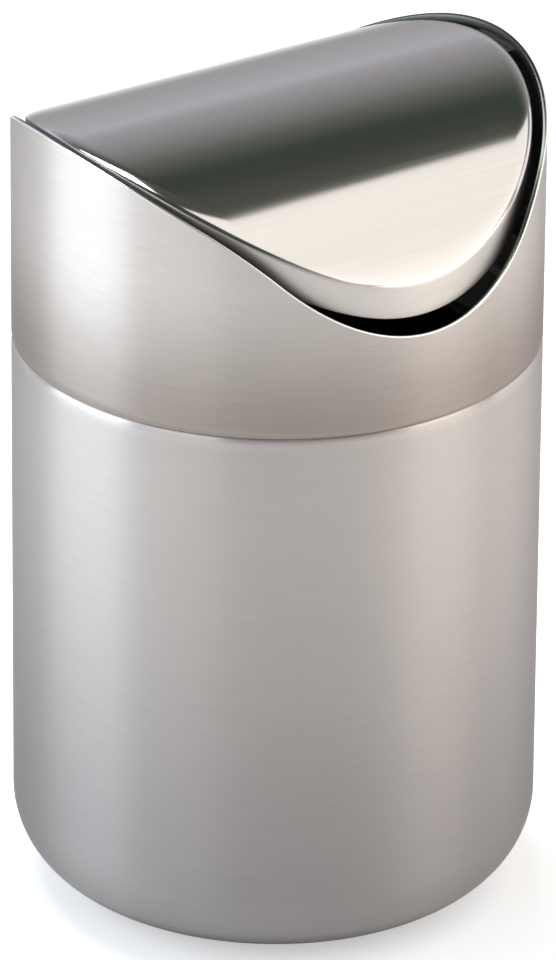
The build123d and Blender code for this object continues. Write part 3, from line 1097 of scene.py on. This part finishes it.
# %% The bucket's section
bucket_low, bucket_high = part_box("inner_bucket")
BUCKET_TOP_Z = bucket_high.z
BUCKET_BASE_Z = bucket_low.z
LIP_R = bucket_high.x
LIP_W = 2.6 * MM
LIP_T = 1.2 * MM
LIP_DROP = 4.0 * MM
BUCKET_WALL = 1.2 * MM
BUCKET_DRAFT = 2.2 * MM
BUCKET_CORNER_R = 15 * MM
BUCKET_EDGE_R = 0.35 * MM
GATE_R = 4 * MM  # the boss where the plastic was let in
WALL_TOP_R = LIP_R - LIP_W
WALL_FOOT_R = WALL_TOP_R - BUCKET_DRAFT


def bucket_outline():
    """The section away from the scoops, and how many of its points are outside."""
    edge = BUCKET_EDGE_R
    top = BUCKET_TOP_Z
    floor_z = BUCKET_BASE_Z + BUCKET_WALL
    gate_z = BUCKET_BASE_Z + 1.35 * BUCKET_WALL
    hook_r = LIP_R - LIP_T
    hook_z = top - LIP_DROP
    corner_z = BUCKET_BASE_Z + BUCKET_CORNER_R
    corner_r = WALL_FOOT_R - BUCKET_CORNER_R
    inner_top_r = WALL_TOP_R - BUCKET_WALL
    outside = joined(
        [(0, BUCKET_BASE_Z)],
        arc((corner_r, corner_z), BUCKET_CORNER_R, -90, 0, 16),
        run((WALL_FOOT_R, corner_z), (WALL_TOP_R, top - LIP_T - edge), 24),
        arc((WALL_TOP_R + edge, top - LIP_T - edge), edge, 180, 90, 3),
        arc((hook_r - edge, top - LIP_T - edge), edge, 90, 0, 3),
        arc((hook_r + edge, hook_z + edge), edge, 180, 270, 3),
        arc((LIP_R - edge, hook_z + edge), edge, -90, 0, 4),
        arc((LIP_R - 2 * edge, top - 2 * edge), 2 * edge, 0, 90, 6),
        arc((inner_top_r + edge, top - edge), edge, 90, 180, 4),
    )
    inside = joined(
        run((inner_top_r, top - 2 * edge), (WALL_FOOT_R - BUCKET_WALL, corner_z), 24),
        arc((corner_r, corner_z), BUCKET_CORNER_R - BUCKET_WALL, 0, -90, 14),
        [(2 * GATE_R, floor_z), (GATE_R, gate_z), (0, gate_z)],
    )
    return outside + inside, len(outside)


BUCKET_OUTLINE, OUTSIDE_POINTS = bucket_outline()
print("bucket's section:", len(BUCKET_OUTLINE), "points,", OUTSIDE_POINTS, "of them outside")

# %% [markdown]
# In the scoops the section is cut off lower. A lathe's columns spread out like
# the rays of a star, so a scoop cut along them would be wider outside than
# inside. Near the scoops the columns are therefore pulled parallel, which lets
# the scoop's sides stand straight.

# %% The bucket with its two finger scoops
SCOOP_W = 30 * MM
SCOOP_H = 7 * MM
SCOOP_CORNER_R = 3 * MM
SCOOP_POINTS = (-0.01, 0.01, 0.15, 0.5, 1.0, 1.6, 2.3, 3.0)  # mm inside a scoop's side
PULL_ACROSS = (40 * MM, 20 * MM)  # from a scoop's middle: no pull at one, full at the other
PULL_BELOW = (30 * MM, 10 * MM)  # and so below the bucket's top


def scoop_edge(across):
    """Height of the lip's edge at this distance from a scoop's middle."""
    inside = SCOOP_W / 2 - abs(across)
    if inside <= 0:
        return BUCKET_TOP_Z
    low = BUCKET_TOP_Z - SCOOP_H
    if inside >= SCOOP_CORNER_R:
        return low
    return low + SCOOP_CORNER_R - sqrt(SCOOP_CORNER_R**2 - (SCOOP_CORNER_R - inside) ** 2)


def share(value, start, end):
    """How far value has come from start to end, as 0 to 1."""
    return min(max((value - start) / (end - start), 0), 1)


def bucket_section(angle):
    """The section at an angle, cut off at the scoop's edge, with its columns' turns."""
    across = LIP_R * cos(angle)
    edge_z = scoop_edge(across)
    parallel = share(abs(across), *PULL_ACROSS)
    points = []
    for index, (radius, height) in enumerate(BUCKET_OUTLINE):
        if height > edge_z:
            height = edge_z
            radius = min(radius, WALL_TOP_R) if index < OUTSIDE_POINTS else radius
        pull = parallel * share(BUCKET_TOP_Z - height, *PULL_BELOW)
        turn = 0
        if pull:
            straight = acos(across / radius) if sin(angle) >= 0 else 2 * pi - acos(across / radius)
            turn = (straight - angle) * pull
        points.append((radius, height, turn))
    return points


def bucket_angles():
    """Even columns, closer at the scoops' rounded corners and paired at their sides."""
    extra = []
    for inside in SCOOP_POINTS:
        turn = acos((SCOOP_W / 2 - inside * MM) / LIP_R)
        extra += [turn, pi - turn, pi + turn, 2 * pi - turn]
    return sorted(even_angles(192) + extra)


bucket_mesh = shell_mesh("waste_bucket", bucket_section, bucket_angles(), looped=False, crease=45)
place_piece("waste_bucket", bucket_mesh, bucket_plastic, "bucket", "bucket_plastic", "inner_bucket")

# %% [markdown]
# The lip is stiffened from below by short moulded ribs, which the tree sets
# round the wall. They stop short of the can's rolled mouth.

# %% Ribs under the bucket's lip
RIB_COUNT = 36
RIB_SIZE = (1.2 * MM, 0.45 * MM, 10.0 * MM)  # half of a rib: outwards, round and up
RIB_R = WALL_TOP_R + 0.15 * MM
RIB_Z = BUCKET_TOP_Z - 11.2 * MM
RIB_BARE = SCOOP_W / 2 + 2 * MM  # no rib under a scoop
rib_mesh = ring_of_lumps("lip_ribs", RIB_COUNT, RIB_R, RIB_Z, RIB_SIZE, bucket_plastic, RIB_BARE)
place_piece("lip_ribs", rib_mesh, bucket_plastic, "bucket", "bucket_plastic")

# %% [markdown]
# ## The lid's sleeve and its spot welds
# A plain ring of sheet, stepped once, plugs into the can's mouth. It is
# welded up inside the collar, and each spot leaves a small shallow nugget.

# %% Sleeve
sleeve_low, sleeve_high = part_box("collar_sleeve")
SLEEVE_CLEAR = 0.3 * MM  # between the sleeve and the can's rolled mouth
SLEEVE_OUT_R = BODY_R - CURL_W - SLEEVE_CLEAR
STEP_BEND_R = 0.35 * MM
STEP_CHAMFER = 0.1 * MM


def sleeve_section(angle):
    """Up the outside over the step, round the top edge and down the inside."""
    lip = SHEET_T / 2
    bend_r = STEP_BEND_R
    step_r = WALL_IN_R - SHEET_T
    low_r = SLEEVE_OUT_R - SHEET_T
    step_z = SEAM_Z + SHEET_T
    return joined(
        arc((SLEEVE_OUT_R - lip, sleeve_low.z + lip), lip, -180, 0, 8),
        run((SLEEVE_OUT_R, sleeve_low.z + 1.5 * lip), (SLEEVE_OUT_R, SEAM_Z - STEP_CHAMFER), 6),
        [(SLEEVE_OUT_R + STEP_CHAMFER, SEAM_Z)],
        arc((WALL_IN_R - bend_r, SEAM_Z + bend_r), bend_r, -90, 0, 5),
        run((WALL_IN_R, SEAM_Z + 2 * bend_r), (WALL_IN_R, sleeve_high.z - lip), 6),
        arc((WALL_IN_R - lip, sleeve_high.z - lip), lip, 0, 180, 8),
        run((step_r, sleeve_high.z - 1.5 * lip), (step_r, step_z + STEP_CHAMFER), 6),
        [(step_r - STEP_CHAMFER, step_z)],
        arc((low_r + bend_r, step_z - bend_r), bend_r, 90, 180, 5),
        run((low_r, step_z - 2 * bend_r), (low_r, sleeve_low.z + 1.5 * lip), 6),
    )


sleeve_mesh = shell_mesh("lid_sleeve", sleeve_section, even_angles(240), looped=True, crease=50)
place_piece("lid_sleeve", sleeve_mesh, lid_steel, "lid", "lid_steel", "collar_sleeve")

# %% [markdown]
# A spot weld leaves a round dimple with a low rim. At this size a flat lump
# on the sleeve's inner face is enough, and the ring tree already makes it.

# %% Spot welds round the sleeve
WELD_COUNT = 24
WELD_SIZE = (0.08 * MM, 1.6 * MM, 1.6 * MM)
WELD_R = WALL_IN_R - SHEET_T
WELD_Z = SEAM_Z + 7 * MM
weld_mesh = ring_of_lumps("spot_welds", WELD_COUNT, WELD_R, WELD_Z, WELD_SIZE, lid_steel)
place_piece("spot_welds", weld_mesh, lid_steel, "lid", "lid_steel")

# %% [markdown]
# ## The foot
# The can stands on a rubber ring, seen only when the bin is turned over. A
# real one has raised edges and a groove between them, with soft pips that
# grip the table. The ring is lathed.

# %% Foot ring
foot_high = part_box("foot_ring")[1]
FOOT_OUT_R = foot_high.x
FOOT_IN_R = FOOT_OUT_R - 8 * MM
FOOT_H = foot_high.z
FOOT_EDGE_R = 0.3 * MM
LAND_W = 1.6 * MM  # each raised edge
GROOVE_Z = 0.5 * MM
GROOVE_SLOPE = 0.45 * MM


def foot_section(angle):
    """Under the two raised edges and back across the flat top."""
    edge = FOOT_EDGE_R
    groove = LAND_W + GROOVE_SLOPE
    return joined(
        arc((FOOT_IN_R + edge, edge), edge, 180, 270, 4),
        arc((FOOT_IN_R + LAND_W, edge), edge, -90, -10, 4),
        [(FOOT_IN_R + groove, GROOVE_Z), (FOOT_OUT_R - groove, GROOVE_Z)],
        arc((FOOT_OUT_R - LAND_W, edge), edge, 190, 270, 4),
        arc((FOOT_OUT_R - edge, edge), edge, -90, 0, 4),
        [(FOOT_OUT_R, FOOT_H), (FOOT_IN_R, FOOT_H)],
    )


foot_mesh = shell_mesh("rubber_foot", foot_section, even_angles(180), looped=True, crease=50)
place_piece("rubber_foot", foot_mesh, foot_rubber, "can", "foot_rubber", "foot_ring")

# %% [markdown]
# The pips stand in the groove, and end a hair above the raised edges: they
# touch the table once the rubber gives. They are lumps round a ring again, so
# the tree makes them.

# %% Grip pips in the foot's groove
PIP_COUNT = 56
PIP_SIZE = (0.9 * MM, 0.9 * MM, 0.45 * MM)
PIP_R = (FOOT_OUT_R + FOOT_IN_R) / 2
pip_mesh = ring_of_lumps("grip_pips", PIP_COUNT, PIP_R, GROOVE_Z, PIP_SIZE, foot_rubber)
place_piece("grip_pips", pip_mesh, foot_rubber, "can", "foot_rubber")

# %% [markdown]
# ## The axle and what turns on it
# These are turned or stamped parts, a few millimetres across, with broken
# edges that catch a thin line of light. Each is a lathed section laid along
# the axle.


# %% Helpers that lathe a piece and lay it along the axle
def laid_on_axle(mesh):
    """Turns a mesh that was lathed round Z so that it lies along the axle."""
    for vertex in mesh.vertices:
        along, across, up = vertex.co.z, vertex.co.x, vertex.co.y
        vertex.co = (along, across, up + AXLE_Z)
    return mesh


def ring_profile(inner_r, steps, edge):
    """A looped section with broken edges. steps are (start, end, outer radius), in order."""
    first, last = steps[0], steps[-1]
    points = [(inner_r, first[0] + edge), (inner_r + edge, first[0])]
    for start, end, outer_r in steps:
        points += [(outer_r - edge, start), (outer_r, start + edge)]
        points += [(outer_r, end - edge), (outer_r - edge, end)]
    points += [(inner_r + edge, last[1]), (inner_r, last[1] - edge)]
    return points


def turned_piece(name, profile, side, material, slot, body, node):
    """A lathed piece on the axle. side is 1 at the right-hand end, -1 at the left."""
    points = [(radius, along * side) for radius, along in profile]
    looped = points[0][0] > 0
    mesh = shell_mesh(name, lambda angle: points, even_angles(64), looped, crease=40)
    place_piece(name, laid_on_axle(mesh), material, body, slot, node)


print("lathe helpers ready")

# %% [markdown]
# The axle is one plain rod with a narrow groove for a clip near each end, and
# with broken edges where it was cut off. Both halves are alike, so only the
# right one is written down, and the left one is its mirror image.

# %% Axle rod
GROOVE_R = 1.15 * MM
GROOVE_CLEAR = 0.05 * MM
ROD_BREAK = 0.3 * MM  # the broken edge at each end
clip_low, clip_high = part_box("axle_clip_right")
groove_start = clip_low.x - GROOVE_CLEAR
groove_end = clip_high.x + GROOVE_CLEAR
half = axle_high.x
right_half = [
    (AXLE_R, groove_start),
    (GROOVE_R, groove_start),
    (GROOVE_R, groove_end),
    (AXLE_R, groove_end),
    (AXLE_R, half - ROD_BREAK),
    (AXLE_R - ROD_BREAK, half),
    (0, half),
]
rod_profile = [(radius, -along) for radius, along in reversed(right_half)] + right_half
turned_piece("hinge_rod", rod_profile, 1, plated_steel, "plated_steel", "lid", "axle_rod")

# %% [markdown]
# The flap turns on nylon bushes, pressed into its lugs with their flanges
# outside, and nylon washers keep steel off steel. They are lathed too, with
# sections of straight steps and broken edges.

# %% Bushes and washers, both ends
bush_low, bush_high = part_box("axle_bush_right")
washer_low, washer_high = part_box("axle_washer_right")
BORE_CLEAR = 0.05 * MM
FLANGE_R = 3.5 * MM  # also the washer's
FLANGE_T = 1.0 * MM
SHANK_R = 2.5 * MM
BUSH_EDGE = 0.15 * MM
WASHER_EDGE = 0.12 * MM
bore_r = AXLE_R + BORE_CLEAR
flange_end = bush_low.x + FLANGE_T
bush_steps = ((bush_low.x, flange_end, FLANGE_R), (flange_end, bush_high.x, SHANK_R))
bush = ring_profile(bore_r, bush_steps, BUSH_EDGE)
washer = ring_profile(bore_r, ((washer_low.x, washer_high.x, FLANGE_R),), WASHER_EDGE)

for end, side in (("right", 1), ("left", -1)):
    turned_piece(f"nylon_bush_{end}", bush, side, nylon, "nylon", "flap", f"axle_bush_{end}")
    turned_piece(f"nylon_washer_{end}", washer, side, nylon, "nylon", "lid", f"axle_washer_{end}")

# %% [markdown]
# A clip is stamped, and it can't be lathed, because its inside isn't round:
# it grips in three places and springs open in between. So each column across
# its band is worked out on its own, from the finger it is nearest to, and the
# columns are joined.

# %% Clips with three gripping fingers
CLIP_R = 3.3 * MM
POCKET_R = 2.25 * MM
MOUTH_HALF = 1.0 * MM
FINGERS = (90.0, -30.0, 210.0)  # degrees round the axle, from +Y towards +Z
FINGER_HALF = 24.0
FINGER_SIDE = 9.0  # over how many degrees a finger runs out into the pocket
CLIP_EDGE = 0.08 * MM
CLIP_COLUMNS = 96


def clip_mesh(name, start, end):
    """A stamped clip between two places along the axle, open downwards."""
    made = bmesh.new()
    edge = CLIP_EDGE
    columns = []
    for i in range(CLIP_COLUMNS + 1):
        turns = []
        for radius in (GROOVE_R, CLIP_R):
            gap = asin(MOUTH_HALF / radius)
            turns.append(-pi / 2 + gap + (2 * pi - 2 * gap) * i / CLIP_COLUMNS)
        away = min(abs((degrees(turns[0]) - finger + 180) % 360 - 180) for finger in FINGERS)
        opened = share(away, FINGER_HALF, FINGER_HALF + FINGER_SIDE)
        inner_r = GROOVE_R + (POCKET_R - GROOVE_R) * opened**2 * (3 - 2 * opened)
        corners = (
            (inner_r, turns[0], start + edge),
            (inner_r + edge, turns[0], start),
            (CLIP_R - edge, turns[1], start),
            (CLIP_R, turns[1], start + edge),
            (CLIP_R, turns[1], end - edge),
            (CLIP_R - edge, turns[1], end),
            (inner_r + edge, turns[0], end),
            (inner_r, turns[0], end - edge),
        )
        places = [(x, r * cos(t), AXLE_Z + r * sin(t)) for r, t, x in corners]
        columns.append([made.verts.new(place) for place in places])
    for column, after in zip(columns, columns[1:]):
        for k in range(8):
            made.faces.new((column[k], column[(k + 1) % 8], after[(k + 1) % 8], after[k]))
    made.faces.new(columns[0])
    made.faces.new(columns[-1])
    return kept_mesh(made, name, crease=30)


for end, side in (("right", 1), ("left", -1)):
    ends = sorted((clip_low.x * side, clip_high.x * side))
    mesh = clip_mesh(f"spring_clip_{end}", *ends)
    place_piece(mesh.name, mesh, spring_steel, "lid", "plated_steel", f"axle_clip_{end}")

# %% [markdown]
# ## Parts whose CAD shape is right
# The lugs, the brackets and the silicone caps are flat, simple pressings and
# mouldings. Their solids already are what the real parts look like, so they
# stay and only get their finishes. A CAD node's mesh is never changed.

# %% Finishes of the nodes that stay
STAYING_NODES = {"flap_lug": plated_steel, "axle_bracket": bracket_steel, "stop_buffer": silicone}
for stem, material in STAYING_NODES.items():
    for end in ("left", "right"):
        dress_node(f"{stem}_{end}", material)
print("nodes that stay:", 2 * len(STAYING_NODES), "of", len(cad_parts))
